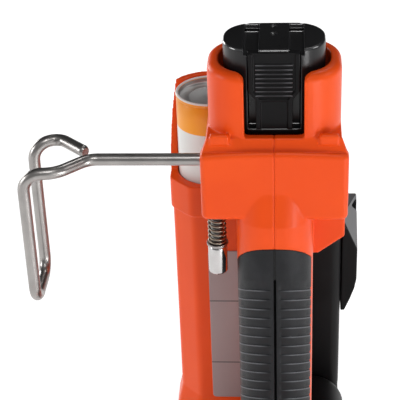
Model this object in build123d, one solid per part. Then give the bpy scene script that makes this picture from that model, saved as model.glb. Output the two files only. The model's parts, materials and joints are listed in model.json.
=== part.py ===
# A cordless gas nailer standing on the flat front of its head with the battery end up.
# X runs to the tool's right, Y along the nail's flight, Z up the handle. Sizes are millimetres.
import math
import os

from build123d import *

os.makedirs("parts", exist_ok=True)

# Fits
running_gap = 0.05
slip_gap = 0.4
seat_gap = 0.3

# Head
head_width = 78.0
head_height = 92.0
head_rear = -50.0
head_front = 84.0
head_top_radius = 19.0
head_foot_radius = 14.0
head_nose_radius = 7.0
chamber_bore = 70.0
head_front_wall = 10.0
cap_length = 22.0
cap_edge_radius = 7.0
vent_count = 5
vent_pitch = 8.0
vent_height = 3.6
vent_length = 30.0
flute_count = 3
flute_pitch = 13.0
flute_length = 56.0
flute_height = 4.0
flute_depth = 1.2

# Handle
handle_width = 37.4
handle_depth = 36.0
handle_corner = 15.5
handle_length = 161.5
palm_y = -14.0
foot_flare = 4.0
foot_height = 16.0
grip_skin = 2.6
grip_bottom = 18.0
grip_length = 131.0
grip_slope = 14.5
grip_back = 19.0
grip_back_right = 10.5
rib_count = 15
rib_pitch = 5.6
rib_drop = 23.5
rib_depth = 0.9
rib_width = 1.3
rib_margin = 2.6
rib_tilt = 30.0
seam_width = 1.4
seam_depth = 1.1

# Battery block, socket and bridge
block_width = 70.0
block_height = 35.8
block_setback = 5.0
block_depth = 46.0
block_radius = 3.0
neck_rise = 19.0
neck_drop = 1.0
neck_sink = 1.3
ledge_rise = 6.0
ledge_slant = 3.3
shoulder_depth = 7.7
shoulder_fall = 24.5
lip_setback = 2.2
lip_arch = 1.6
lip_trough = 2.4
socket_height = 31.7
socket_wall = 5.2
socket_end_wall = 4.5
socket_corner = 19.0
rim_radius = 4.0
window_width = 28.0
window_flare = 4.0
pad_width = 9.0
pad_height = 5.0
pad_proud = 1.8
pad_step = 0.9
bridge_drop = 30.0
bridge_start = 10.0
bridge_chamfer_x = 13.5
bridge_chamfer_z = 10.0

# Battery
battery_width = 48.0
battery_depth = 33.0
battery_corner = 14.5
battery_proud = 10.0
battery_length = 43.0
bay_gap = 2.5
stem_width = 27.0
stem_depth = 21.0
stem_length = 69.0
latch_width = 24.0
latch_length = 38.5
latch_thickness = 4.0
latch_travel = 1.5
latch_rib_count = 9
latch_rib_pitch = 2.2
latch_rib_first = 6.0
latch_rib_height = 0.7
latch_rib_width = 1.0
latch_drop = 1.5
latch_shoulder = 19.0
latch_slant = 4.5
latch_waist = 8.6
latch_rail = 2.2
latch_rail_rise = 0.9
groove_offset = 10.5
groove_width = 7.0
groove_depth = 3.0
groove_end = 5.0
groove_step = 1.0
dimple_radius = 3.0
dimple_depth = 0.6
dimple_pitch = 9.0
battery_edge = 1.2
contact_offset = 6.0
contact_width = 3.0
contact_depth = 14.0

# Fuel tube and can
can_x = -33.5
can_y = 60.0
can_diameter = 35.0
can_length = 152.0
can_proud = 45.5
can_gap = 0.5
can_shoulder = 4.0
bead_height = 3.0
dish_depth = 6.0
valve_radius = 8.0
valve_height = 6.0
stem_radius = 2.2
stem_drop = 10.0
tube_floor = 8.0
tube_wall = 2.8
tube_flat_edge = 20.5
tube_facet = 11.0
tube_facet_round = 5.0
tube_flare = 3.5
tube_flare_height = 16.0
tube_length = 153.0
collar_height = 17.6
collar_step = 1.0
hood_rise = 46.0
fairing_drop = 42.0
label_rise = 114.0
label_width = 22.0
label_thickness = 0.5

# Hook
hook_wire = 6.0
hook_inset = 6.5
hook_y = 5.0
hook_arm_drop = 9.3
hook_reach = 91.0
hook_drop = 73.0
hook_front = 15.0
hook_back = 16.0
hook_bend = 9.0
hook_straight = 61.0
fork_run = 14.0
fork_ease = 1.5
crook_run = 13.0
crook_bulge = 5.5
crook_return = 8.5
hook_lift = 8.0
notch_room = 1.6
spring_wire = 1.15
spring_radius = 4.05
spring_turns = 8
spring_length = 19.8
washer_thickness = 1.2
nut_diameter = 9.6
nut_length = 16.4
nut_chamfer = 1.0

# Magazine and follower
magazine_left = -11.0
magazine_right = 36.5
magazine_gap = 2.0
magazine_depth = 60.0
channel_width = 9.5
rail_thickness = 4.0
rib_line_count = 3
rib_line_pitch = 6.0
rib_line_width = 2.4
rib_line_depth = 0.8
rib_line_end = 20.0
follower_slot = 8.0
follower_slot_y = 18.0
follower_travel = 80.0
follower_stem_height = 18.0
lever_thickness = 9.0
lever_drop = 27.5
lever_length = 64.5
lever_depth = 26.0
lever_curve = 22.0
lever_hole = 7.0
lever_facet = (0.877, -0.306, 0.369)

# Nose, piston and probe
nose_width = 26.0
nose_length = 64.0
nose_height = 46.0
flange_width = 42.0
flange_thickness = 6.0
driver_diameter = 6.0
cylinder_bore = 47.0
cylinder_wall = 3.5
cylinder_start = 2.0
piston_height = 12.0
piston_stroke = 44.0
bumper_height = 10.0
sleeve_bore = 60.0
sleeve_wall = 3.0
sleeve_start = -35.0
sleeve_length = 49.0
rod_diameter = 4.0
rod_offset = 22.0
probe_travel = 10.0
probe_plate = 5.0
ear_rise = 4.4
tongue_width = 20.0
tip_plate = 7.0
tip_reach = 19.0
fan_diameter = 48.0
fan_blades = 5
motor_diameter = 29.4
motor_length = 16.0
shaft_diameter = 3.0

# Fasteners, board and switch
screw_head = 7.0
screw_head_height = 3.0
screw_shank = 3.5
screw_length = 9.0
board_width = 14.0
board_length = 44.0
board_thickness = 1.6
board_room = 2.0
board_clear = 12.0
chip_height = 1.5
switch_width = 10.0
switch_depth = 5.0
switch_height = 10.0

# Trigger
trigger_width = 12.0
trigger_length = 36.0
trigger_reach = 15.0
trigger_pin = 4.0
trigger_ear = 5.0
trigger_curl = 6.0
trigger_brow = 8.0
trigger_hollow = 18.0
trigger_heel = 14.0
trigger_foot = 2.0
trigger_clear = 10.0
trigger_pocket_depth = 17.0
trigger_room = 5.0

# Heights and depths that follow from the sizes above
block_bottom = head_height + handle_length
block_top = block_bottom + block_height
ledge_top = block_top + ledge_rise
socket_top = ledge_top + socket_height
battery_top = socket_top + battery_proud
grip_top = head_height + grip_bottom + grip_length
tube_top = head_height + tube_length
label_top = head_height + label_rise
latch_top = battery_top - latch_drop
block_front = palm_y + block_setback
block_back = block_front + block_depth
hook_x = hook_inset - block_width / 2
socket_front = block_front + ledge_rise
socket_depth = battery_depth + 2 * (bay_gap + socket_end_wall)
socket_width = battery_width + 2 * (bay_gap + socket_wall)
bay_y = socket_front + socket_depth / 2
handle_y = palm_y + handle_depth / 2
handle_back = palm_y + handle_depth
head_axis = head_height / 2
bridge_bottom = block_bottom - bridge_drop
magazine_front = head_front + magazine_gap
magazine_back = magazine_front + magazine_depth
magazine_top = bridge_bottom
nose_top = head_axis + nose_height / 2
magazine_bottom = nose_top
tube_radius = can_diameter / 2 + can_gap + tube_wall
tube_flat = can_x + tube_flat_edge
tube_front = can_y - tube_radius
can_top = tube_top + can_proud
hook_arm = block_top - hook_arm_drop
cylinder_end = head_front - head_front_wall
rod_z_level = head_axis - rod_offset
yoke_start = head_front + probe_travel + 2.0
nose_bottom = head_axis - nose_height / 2
trigger_pivot_y = handle_back - 8.0
trigger_pivot_z = head_height + trigger_clear + trigger_length
pocket_front = handle_back - trigger_pocket_depth
pocket_low = trigger_pivot_z - trigger_length - trigger_room
board_bottom = trigger_pivot_z + board_clear


def box_between(low, high):
    sizes = [b - a for a, b in zip(low, high)]
    middle = [(a + b) / 2 for a, b in zip(low, high)]
    return Pos(*middle) * Box(*sizes)


def rod_y(radius, start, end, x=0.0, z=head_axis):
    return Pos(x, (start + end) / 2, z) * Rot(X=90) * Cylinder(radius, end - start)


def rod_x(radius, start, end, y, z):
    return Pos((start + end) / 2, y, z) * Rot(Y=90) * Cylinder(radius, end - start)


def rod_z(radius, start, end, x, y):
    return Pos(x, y, (start + end) / 2) * Cylinder(radius, end - start)


def prism_y(sketch, start, end):
    # A sketch drawn in X and Z, carried along Y from start to end.
    plane = Plane(origin=(0, start, 0), x_dir=(1, 0, 0), z_dir=(0, -1, 0))
    return extrude(plane * sketch, amount=end - start, dir=(0, 1, 0))


def prism_x(sketch, start, end):
    # A sketch drawn in Y and Z, carried along X from start to end.
    plane = Plane(origin=(start, 0, 0), x_dir=(0, 1, 0), z_dir=(1, 0, 0))
    return extrude(plane * sketch, amount=end - start, dir=(1, 0, 0))


def handle_section(
    z, grow=0.0, middle=handle_y, depth=handle_depth, corner=handle_corner, width=handle_width
):
    plane = Plane.XY.offset(z)
    outline = RectangleRounded(width + 2 * grow, depth + 2 * grow, corner + grow)
    return plane * Pos(0, middle) * outline


def handle_column(start, end, grow=0.0):
    return extrude(handle_section(start, grow), amount=end - start)


def neck():
    # Full width, with its palm side leaning back into the front of the battery block.
    low = handle_section(grip_top - grip_slope)
    bend = handle_section(block_bottom - neck_drop)
    crest_depth = handle_depth - block_setback - neck_sink
    middle = handle_back - crest_depth / 2
    crest = handle_section(block_bottom + neck_rise, 0.0, middle, crest_depth, crest_depth / 2 - seat_gap)
    return loft([low, bend], ruled=True) + loft([bend, crest], ruled=True)


def handle_foot():
    low = handle_section(head_height, foot_flare)
    high = handle_section(head_height + foot_height)
    return loft([low, high])


def battery_block():
    # The top is arched, highest in the middle.
    half = block_width / 2
    ball = (half * half + lip_arch * lip_arch) / (2 * lip_arch)
    middle = (block_bottom + block_top + lip_arch) / 2
    outline = Pos(0, middle) * Rectangle(block_width, block_height + lip_arch)
    outline &= Pos(0, block_top + lip_arch - ball) * Circle(ball)
    solid = prism_y(outline, block_front, block_back)
    return fillet(solid.edges(), block_radius)


def ledge():
    # The slope from the block's top up to the socket, with ends that lean outwards.
    low = block_top - block_radius
    profile = Polygon(
        (block_front + lip_setback, low),
        (block_front + lip_setback, block_top - lip_trough),
        (socket_front + seat_gap, ledge_top),
        (block_back, ledge_top),
        (block_back, low),
        align=None,
    )
    half = block_width / 2
    crown = half - ledge_slant
    front = Polygon((-half, low), (half, low), (crown, ledge_top), (-crown, ledge_top), align=None)
    return prism_x(profile, -half, half) & prism_y(front, block_front, block_back)


def lip_trough_cut():
    # Clears the block's arched top behind its front lip, down to the slope.
    profile = Polygon(
        (block_front + lip_setback, block_top - lip_trough),
        (socket_front + seat_gap, ledge_top),
        (block_back + 1, ledge_top),
        (block_back + 1, ledge_top + lip_arch),
        (block_front + lip_setback, ledge_top + lip_arch),
        align=None,
    )
    return prism_x(profile, -block_width, block_width)


def shoulder_cut():
    # Behind the right end of the slope the block falls away and is no wider than the socket.
    start = block_front + shoulder_depth
    low = block_top - block_radius
    profile = Polygon(
        (start, ledge_top + 1),
        (start, low),
        (block_back + 1, low - shoulder_fall),
        (block_back + 1, ledge_top + 1),
        align=None,
    )
    return prism_x(profile, socket_width / 2, block_width / 2 + 1)


def socket():
    outline = RectangleRounded(socket_width, socket_depth, socket_corner)
    solid = extrude(Plane.XY.offset(block_top) * Pos(0, bay_y) * outline, amount=socket_top - block_top)
    rim = solid.edges().group_by(Axis.Z)[-1]
    return fillet(rim, rim_radius)


def ledge_pads():
    # A low pad at the foot of each side of the socket.
    pads = []
    middle = window_width / 2 + 1.3 * pad_width
    for side in (-1, 1):
        pad = Box(pad_width, 2 * pad_proud, pad_height)
        pad = chamfer(pad.edges().group_by(Axis.Z)[-1], pad_step)
        pads.append(Pos(side * middle, socket_front, ledge_top) * pad)
    return pads


def bridge():
    # The web behind the neck that carries the back end of the magazine.
    right = block_width / 2
    profile = Polygon(
        (tube_flat, block_bottom + block_radius),
        (right - 0.5, block_bottom + block_radius),
        (right - 0.5, bridge_bottom + bridge_chamfer_z),
        (right - bridge_chamfer_x, bridge_bottom),
        (tube_flat, bridge_bottom),
        align=None,
    )
    solid = prism_y(profile, bridge_start, magazine_back)
    fall = Polygon(
        (block_back, block_bottom + 2 * block_radius),
        (magazine_back + 1, block_bottom + 2 * block_radius),
        (magazine_back + 1, block_bottom - bridge_drop / 2),
        align=None,
    )
    solid -= prism_x(fall, tube_flat - 1, right + 1)
    loading_slot = box_between(
        (-channel_width / 2, magazine_front + rail_thickness, bridge_bottom - 1),
        (channel_width / 2, magazine_back - rail_thickness, block_top),
    )
    return solid - loading_slot


def battery_cavity(gap, floor):
    outline = RectangleRounded(
        battery_width + 2 * gap, battery_depth + 2 * gap, battery_corner + gap
    )
    wide = extrude(Plane.XY.offset(floor) * Pos(0, bay_y) * outline, amount=battery_top - floor)
    stem = box_between(
        (-stem_width / 2 - gap, bay_y - stem_depth / 2 - gap, floor - stem_length),
        (stem_width / 2 + gap, bay_y + stem_depth / 2 + gap, floor + 1),
    )
    return wide + stem


def window_cut():
    # The front of the socket is open from the ledge up, with rounded corners at the rim.
    half = window_width / 2
    front = socket_front - 1
    back = bay_y - battery_depth / 2 + 1
    cut = box_between((-half, front, ledge_top), (half, back, battery_top))
    for side in (-1, 1):
        outer = side * (half + window_flare)
        low = socket_top - window_flare
        xs = sorted((side * half, outer))
        corner = box_between((xs[0], front, low), (xs[1], back, battery_top))
        cut += corner - rod_y(window_flare, front - 1, back + 1, outer, low)
    return cut


def hook_notch():
    # Open to the left, the back and the top, so the arm can lift and swing.
    floor = hook_arm - hook_bend - 0.5
    ceiling = hook_arm + hook_wire / 2 + hook_lift + 1.5
    half = hook_wire / 2 + notch_room
    left = -block_width / 2 - 1
    inner = rod_z(half, floor, ceiling, hook_x, hook_y)
    swing = box_between((left, hook_y - half, floor), (hook_x, block_back + 1, ceiling))
    shaft = rod_z(hook_wire / 2 + running_gap, block_bottom - 1, ceiling, hook_x, hook_y)
    return inner + swing + shaft


def grip_solid():
    # The palm half of the handle, cut by a plane that falls away from the palm.
    column = handle_column(head_height + grip_bottom, grip_top + 1)
    slope = Polygon(
        (palm_y - 10, grip_top + 10 * grip_slope / -palm_y),
        (palm_y - 10, grip_top + 40),
        (handle_back + 10, grip_top + 40),
        (handle_back + 10, grip_top - (handle_back + 10 - palm_y) * grip_slope / -palm_y),
        align=None,
    )
    column -= prism_x(slope, -handle_width, handle_width)
    far = (handle_width, handle_back + 10, grip_top + 40)
    column -= box_between((-handle_width, palm_y + grip_back, head_height), far)
    return column - box_between((0, palm_y + grip_back_right, head_height), far)


def grip_skin_solid():
    return grip_solid() - handle_column(head_height, grip_top + 40, -grip_skin)


def side_screw_places():
    # On the right half: two in the battery block and two in the bridge, as Y and Z.
    return [
        (block_front + screw_head, block_bottom + screw_head),
        (block_back - screw_head, block_bottom + screw_head),
        (handle_back + 24, block_bottom - bridge_drop / 3),
        (magazine_back - 40, block_bottom - bridge_drop * 0.47),
    ]


def side_screws(grow=0.0):
    right = block_width / 2
    screws = []
    for y, z in side_screw_places():
        head = rod_x(screw_head / 2 + grow, right - 1 - screw_head_height, right - 1 + 3 * grow, y, z)
        shank = rod_x(screw_shank / 2 + grow, right - 1 - screw_length, right - 1 - screw_head_height, y, z)
        screws.append(head + shank)
    return screws


def cap_screw_places():
    x = head_width / 2 - 13
    return [(side * x, z) for side in (-1, 1) for z in (13.0, head_height - 16.0)]


def cap_screws():
    back = head_rear - cap_length
    screws = []
    for x, z in cap_screw_places():
        head = rod_y(screw_head / 2, back + 1, back + 1 + screw_head_height, x, z)
        shank = rod_y(screw_shank / 2, back + 1 + screw_head_height, head_rear + 5, x, z)
        screws.append(head + shank)
    return screws


def magazine_screw_places():
    heights = (magazine_bottom + screw_head, magazine_top - screw_head)
    return [(y, z) for y in (magazine_front + screw_head, magazine_back - screw_head) for z in heights]


def magazine_screws():
    screws = []
    for y, z in magazine_screw_places():
        head = rod_x(screw_head / 2, magazine_right - 1 - screw_head_height, magazine_right - 1, y, z)
        shank = rod_x(screw_shank / 2, channel_width / 2, magazine_right - 1 - screw_head_height, y, z)
        screws.append(head + shank)
    return screws


def board_pocket():
    half = board_width / 2 + board_room
    back = handle_y + board_thickness + 3 * board_room
    high = board_bottom + board_length + board_room
    return box_between((-half, handle_y - board_room, board_bottom), (half, back, high))


def control_board():
    half = board_width / 2
    face = handle_y - board_room + board_thickness
    high = board_bottom + board_length
    plate = box_between((-half, handle_y - board_room, board_bottom), (half, face, high))
    chip = Pos(0, face + chip_height / 2, board_bottom + board_length / 2) * Box(half, chip_height, half)
    return plate + chip


def trigger_switch():
    half = switch_width / 2
    return box_between(
        (-half, pocket_front, pocket_low),
        (half, pocket_front + switch_depth, pocket_low + switch_height),
    )


def trigger_pocket():
    half = trigger_width / 2 + seat_gap
    return box_between(
        (-half, pocket_front, pocket_low),
        (half, handle_back + foot_flare + 1, trigger_pivot_z + 7),
    )


def housing():
    body = handle_column(head_height, grip_top - grip_slope)
    body += handle_foot()
    body += neck()
    body += battery_block() - lip_trough_cut()
    body += ledge()
    body -= shoulder_cut()
    body += socket()
    body += bridge()
    for pad in ledge_pads():
        body += pad
    body -= battery_cavity(bay_gap, battery_top - battery_length - bay_gap)
    body -= window_cut()
    body -= hook_notch()
    body -= trigger_pocket()
    body -= board_pocket()
    body -= grip_skin_solid()
    pin_half = trigger_width / 2 + 4
    body -= rod_x(trigger_pin / 2, -pin_half, pin_half, trigger_pivot_y, trigger_pivot_z)
    for screw in side_screws(running_gap):
        body -= screw
    for y, z in side_screw_places():
        body -= rod_x(screw_head / 2 + running_gap, block_width / 2 - 1.5, block_width / 2 + 1, y, z)
    return body


def grip():
    # Ribs between tilted grooves that stop short of the seam down the middle of the palm.
    skin = grip_skin_solid()
    core = handle_column(head_height, grip_top, -rib_depth)
    for i in range(rib_count):
        z = grip_top - rib_drop - i * rib_pitch
        for side in (-1, 1):
            x = side * (rib_margin + handle_width / 2)
            slab = Rot(X=-rib_tilt) * Box(handle_width, 2 * handle_depth, rib_width)
            skin -= Pos(x, palm_y, z) * slab - core
    seam_top = grip_top - rib_drop + rib_pitch
    seam = box_between(
        (-seam_width / 2, palm_y - 1, head_height), (seam_width / 2, palm_y + seam_depth, seam_top)
    )
    return skin - seam


def halves(solid):
    left = split(solid, bisect_by=Plane.YZ, keep=Keep.BOTTOM)
    right = split(solid, bisect_by=Plane.YZ, keep=Keep.TOP)
    return left, right


def battery_pack():
    floor = battery_top - battery_length
    solid = battery_cavity(0.0, floor)
    rim = solid.edges().group_by(Axis.Z)[-1]
    solid = fillet(rim, battery_edge)
    front = bay_y - battery_depth / 2
    back = bay_y + battery_depth / 2
    for side in (-1, 1):
        low = side * groove_offset - groove_width / 2
        high = low + groove_width
        deep = battery_top - groove_depth
        step = battery_top - groove_step
        solid -= box_between((low, front - 1, deep), (high, back - groove_end, battery_top + 1))
        solid -= box_between((low, front - 1, step), (high, back - groove_step, battery_top + 1))
    for place in (0, 1):
        y = back - groove_end - place * dimple_pitch
        solid -= Pos(0, y, battery_top + dimple_radius - dimple_depth) * Sphere(dimple_radius)
    half = latch_width / 2 + seat_gap
    recess = box_between(
        (-half, front - 1, latch_top - latch_length - seat_gap),
        (half, front + latch_thickness + latch_travel, latch_top + seat_gap),
    )
    return solid - recess


def battery_latch():
    front = bay_y - battery_depth / 2
    half = latch_width / 2
    shoulder = latch_top - latch_shoulder
    outline = Polygon(
        (-half, latch_top),
        (half, latch_top),
        (half, shoulder),
        (latch_waist, shoulder - latch_slant),
        (latch_waist, latch_top - latch_length),
        (-latch_waist, latch_top - latch_length),
        (-latch_waist, shoulder - latch_slant),
        (-half, shoulder),
        align=None,
    )
    solid = prism_y(outline, front, front + latch_thickness)
    for i in range(latch_rib_count):
        z = latch_top - latch_rib_first - i * latch_rib_pitch
        rib = Box(2 * latch_waist, 2 * latch_rib_height, latch_rib_width)
        solid += Pos(0, front, z) * rib
    for side in (-1, 1):
        rail = Polygon(
            (side * half, latch_top),
            (side * (half - latch_rail), latch_top),
            (side * (half - latch_rail), shoulder),
            (side * (latch_waist - latch_rail), shoulder - latch_slant),
            (side * (latch_waist - latch_rail), latch_top - latch_length),
            (side * latch_waist, latch_top - latch_length),
            (side * latch_waist, shoulder - latch_slant),
            (side * half, shoulder),
            align=None,
        )
        solid += prism_y(rail, front - latch_rail_rise, front + 1)
    return solid


def battery_contacts():
    floor = battery_top - battery_length - stem_length
    blade = Box(contact_width, contact_depth, bay_gap)
    return [Pos(side * contact_offset, bay_y, floor - bay_gap / 2) * blade for side in (-1, 1)]


def tube_outline(grow, base):
    # Flat towards the handle, with a broad soft facet at each left corner.
    half = tube_radius + grow
    outline = Polygon(
        (tube_flat, can_y - half),
        (tube_flat, can_y + half),
        (can_x - half + tube_facet, can_y + half),
        (can_x - half, can_y + half - tube_facet),
        (can_x - half, can_y - half + tube_facet),
        (can_x - half + tube_facet, can_y - half),
        align=None,
    )
    left = outline.vertices().sort_by(Axis.X)[:4]
    return Plane.XY.offset(base) * fillet(left, tube_facet_round)


def tube_section(grow, height, base):
    return extrude(tube_outline(grow, base), amount=height)


def tube_fairing():
    # The foot of the tube runs down the rounded shoulder of the head.
    column = tube_section(tube_flare, fairing_drop, head_height - fairing_drop)
    left = can_x - tube_radius - tube_flare - 1
    near = tube_front - tube_flare - 1
    far = can_y + tube_radius + tube_flare + 1
    under = Polygon(
        (left, head_height - fairing_drop / 3),
        (-head_width / 2, head_height - fairing_drop),
        (-head_width / 2, head_height - fairing_drop - 5),
        (left, head_height - fairing_drop - 5),
        align=None,
    )
    column -= prism_y(under, near, far)
    return column - prism_y(head_profile(), near, far)


def fuel_tube():
    solid = tube_section(0.0, tube_top - collar_height - head_height, head_height)
    flare_top = head_height + tube_flare_height
    solid += loft([tube_outline(tube_flare, head_height), tube_outline(0.0, flare_top)], ruled=True)
    solid += tube_fairing()
    solid += tube_section(collar_step, collar_height, tube_top - collar_height)
    hood = rod_z(tube_radius + collar_step, tube_top, tube_top + hood_rise, can_x, can_y)
    open_front = Polygon(
        (tube_front - 10, tube_top),
        (can_y - 2, tube_top),
        (can_y + tube_radius * 0.55, tube_top + hood_rise),
        (can_y + tube_radius * 0.55, tube_top + hood_rise + 5),
        (tube_front - 10, tube_top + hood_rise + 5),
        align=None,
    )
    hood -= prism_x(open_front, can_x - 2 * tube_radius, can_x + 2 * tube_radius)
    solid += hood - box_between(
        (tube_flat, tube_front - 10, tube_top - 1), (tube_flat + 10, can_y + 2 * tube_radius, can_top + 20)
    )
    bore = rod_z(tube_radius - tube_wall, head_height + tube_floor, can_top + hood_rise, can_x, can_y)
    return solid - bore


def label_plate():
    x = tube_flat - 1 - label_width
    low = head_height + tube_flare_height
    return box_between((x, tube_front - label_thickness, low), (x + label_width, tube_front, label_top))


def fuel_can():
    radius = can_diameter / 2
    base = can_top - can_length
    body = rod_z(radius, base, can_top - bead_height / 2, can_x, can_y)
    body = fillet(body.edges().group_by(Axis.Z)[0], can_shoulder)
    bead = rod_z(radius + can_gap / 2, can_top - bead_height, can_top, can_x, can_y)
    bead = fillet(bead.edges(), 0.4 * bead_height)
    rim = radius - bead_height
    ball = (rim * rim + dish_depth * dish_depth) / (2 * dish_depth)
    dish = Pos(can_x, can_y, can_top + ball - dish_depth) * Sphere(ball)
    return body + bead - dish


def can_valve():
    base = can_top - can_length
    collar = rod_z(valve_radius, base - valve_height, base, can_x, can_y)
    return collar + rod_z(stem_radius, base - valve_height - stem_drop, base - valve_height, can_x, can_y)


def valve_seat():
    base = can_top - can_length
    floor = head_height + tube_floor
    seat = rod_z(tube_radius - tube_wall - slip_gap, floor, base - valve_height - slip_gap, can_x, can_y)
    return seat - rod_z(stem_radius + slip_gap, floor - 1, base, can_x, can_y)


def hook():
    left = hook_x - hook_reach
    low = hook_arm - hook_drop
    points = [
        (hook_x, hook_y, block_bottom - spring_length - washer_thickness - nut_length + 2),
        (hook_x, hook_y, hook_arm),
        (hook_x - hook_straight, hook_y, hook_arm),
        (hook_x - hook_straight - fork_run, hook_y - hook_front + fork_ease, hook_arm),
        (left, hook_y - hook_front, hook_arm),
        (left, hook_y - hook_front, low),
        (left, hook_y + hook_back, low),
        (left, hook_y + hook_back, hook_arm),
        (left + crook_run, hook_y + hook_back + crook_bulge, hook_arm),
        (left + 2 * crook_run + fork_ease, hook_y + hook_back - crook_return, hook_arm),
    ]
    radii = [hook_bend - 1, 12.0, 14.0, hook_bend, hook_bend, hook_bend, hook_bend, 7.0]
    path = FilletPolyline(*points, radius=radii)
    ring = Plane(origin=points[0], z_dir=(0, 0, 1)) * Circle(hook_wire / 2)
    return sweep(ring, path=path)


def hook_washer():
    top = block_bottom - spring_length
    ring = rod_z(5.4, top - washer_thickness, top, hook_x, hook_y)
    return ring - rod_z(hook_wire / 2 + running_gap, top - 2 * washer_thickness, top + 1, hook_x, hook_y)


def hook_nut():
    top = block_bottom - spring_length - washer_thickness
    sleeve = rod_z(nut_diameter / 2, top - nut_length, top, hook_x, hook_y)
    sleeve = chamfer(sleeve.edges(), nut_chamfer)
    return sleeve - rod_z(hook_wire / 2, top - nut_length + 2, top + 1, hook_x, hook_y)


def biarc(start, start_dir, end, end_dir):
    chord = end - start
    both = start_dir + end_dir
    spread = 2 * (1 - start_dir.dot(end_dir))
    reach = (math.sqrt(chord.dot(both) ** 2 + spread * chord.dot(chord)) - chord.dot(both)) / spread
    first = start + start_dir * reach
    second = end - end_dir * reach
    joint = (first + second) * 0.5
    return [
        TangentArc(start, joint, tangent=start_dir),
        TangentArc(joint, end, tangent=(second - first).normalized()),
    ]


def coil(radius, wire, turns, length, steps=4):
    # One unbroken wire up the Z axis from 0 to length, with a straight run at each end.
    rise = (length - wire) / (turns * steps)
    slope = rise * steps / (2 * math.pi * radius)

    def at(i):
        turn = 2 * math.pi * i / steps
        return Vector(radius * math.cos(turn), radius * math.sin(turn), wire / 2 + i * rise)

    def along(i):
        turn = 2 * math.pi * i / steps
        return Vector(-math.sin(turn), math.cos(turn), slope).normalized()

    last = turns * steps
    edges = [Line(at(0) - along(0) * wire, at(0))]
    for i in range(last):
        edges += biarc(at(i), along(i), at(i + 1), along(i + 1))
    edges.append(Line(at(last), at(last) + along(last) * wire))
    gap = rise * steps / math.sqrt(1 + slope * slope) - wire
    print("coil of", turns, "turns: least gap between turns", round(gap, 2), "mm")
    start = at(0) - along(0) * wire
    ring = Plane(origin=start, z_dir=along(0)) * Circle(wire / 2)
    return sweep(ring, path=Wire(edges))


def hook_spring():
    low = block_bottom - spring_length + 0.1
    return Pos(hook_x, hook_y, low) * coil(spring_radius, spring_wire, spring_turns, spring_length - 0.2)


def head_profile(inset=0.0):
    outline = Pos(0, head_axis) * Rectangle(head_width - 2 * inset, head_height - 2 * inset)
    corners = outline.vertices().group_by(Axis.Y)
    outline = fillet(corners[-1], head_top_radius - inset)
    foot = outline.vertices().group_by(Axis.Y)[0]
    return fillet(foot, head_foot_radius - inset)


def head_housing():
    solid = prism_y(head_profile(), head_rear, head_front)
    solid = fillet(solid.edges().group_by(Axis.Y)[-1], head_nose_radius)
    solid -= rod_y(chamber_bore / 2, head_rear - 1, cylinder_end)
    solid -= rod_y(driver_diameter / 2 + slip_gap, cylinder_end - 1, head_front + 1)
    for x, z in cap_screw_places():
        solid -= rod_y(screw_shank / 2, head_rear - 1, head_rear + 5, x, z)
    for side in (-1, 1):
        x = side * rod_offset
        solid -= rod_y(rod_diameter / 2 + running_gap, cylinder_end - 1, head_front + 1, x, rod_z_level)
        for i in range(vent_count):
            z = head_axis + (i - (vent_count - 1) / 2) * vent_pitch
            y = cylinder_end - vent_length / 2 - 12
            solid -= Pos(side * head_width / 2, y, z) * Box(head_width / 3, vent_length, vent_height)
        for i in range(flute_count):
            z = head_axis + (i - (flute_count - 1) / 2) * flute_pitch
            flute = Box(2 * flute_depth, flute_length, flute_height)
            solid -= Pos(side * head_width / 2, head_rear + 0.65 * flute_length, z) * flute
    return solid


def rear_cap():
    back = head_rear - cap_length
    solid = prism_y(head_profile(1.0), back, head_rear)
    rim = solid.edges().group_by(Axis.Y)[0]
    solid = fillet(rim, cap_edge_radius)
    solid += rod_y(chamber_bore / 2 - slip_gap, head_rear, head_rear + 4)
    solid -= rod_y(motor_diameter / 2, head_rear - motor_length, head_rear + 5)
    for i in range(vent_count):
        z = head_axis + (i - (vent_count - 1) / 2) * (vent_pitch + 4)
        solid -= Pos(0, back, z) * Box(head_width * 0.6, 6.0, vent_height)
    for x, z in cap_screw_places():
        solid -= rod_y(screw_head / 2, back - 1, back + 1 + screw_head_height, x, z)
        solid -= rod_y(screw_shank / 2, back, head_rear + 6, x, z)
    return solid - rod_y(5.0, head_rear - 8, head_rear + 5, 24.0, head_axis + 10)


def spark_plug():
    stem = rod_y(5.0, head_rear - 8, head_rear + 4, 24.0, head_axis + 10)
    return stem + rod_y(1.0, head_rear + 4, head_rear + 8, 24.0, head_axis + 10)


def fan_motor():
    can = rod_y(motor_diameter / 2, head_rear - motor_length, head_rear)
    return can - rod_y(shaft_diameter / 2 + running_gap, head_rear - motor_length + 2, head_rear + 1)


def fan():
    hub_start = head_rear + 6
    solid = rod_y(7.0, hub_start, hub_start + 7)
    solid += rod_y(shaft_diameter / 2, head_rear - motor_length + 3, hub_start + 1)
    blade = Pos(fan_diameter / 4 + 2, 0, 0) * Rot(X=35) * Box(fan_diameter / 2 - 4, 6.0, 1.2)
    for i in range(fan_blades):
        turned = Rot(Y=360 / fan_blades * i) * blade
        solid += Pos(0, hub_start + 3.5, head_axis) * turned
    return solid


def cylinder():
    outer = cylinder_bore / 2 + cylinder_wall
    solid = rod_y(outer, cylinder_start, cylinder_end)
    solid += rod_y(chamber_bore / 2 - slip_gap, cylinder_end - 6, cylinder_end)
    solid -= rod_y(cylinder_bore / 2, cylinder_start - 1, cylinder_end + 1)
    for side in (-1, 1):
        x = side * rod_offset
        solid -= rod_y(rod_diameter / 2 + running_gap, cylinder_end - 7, cylinder_end + 1, x, rod_z_level)
    return solid


def bumper():
    ring = rod_y(cylinder_bore / 2 - running_gap, cylinder_end - bumper_height, cylinder_end)
    return ring - rod_y(driver_diameter / 2 + slip_gap, cylinder_end - bumper_height - 1, cylinder_end + 1)


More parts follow.
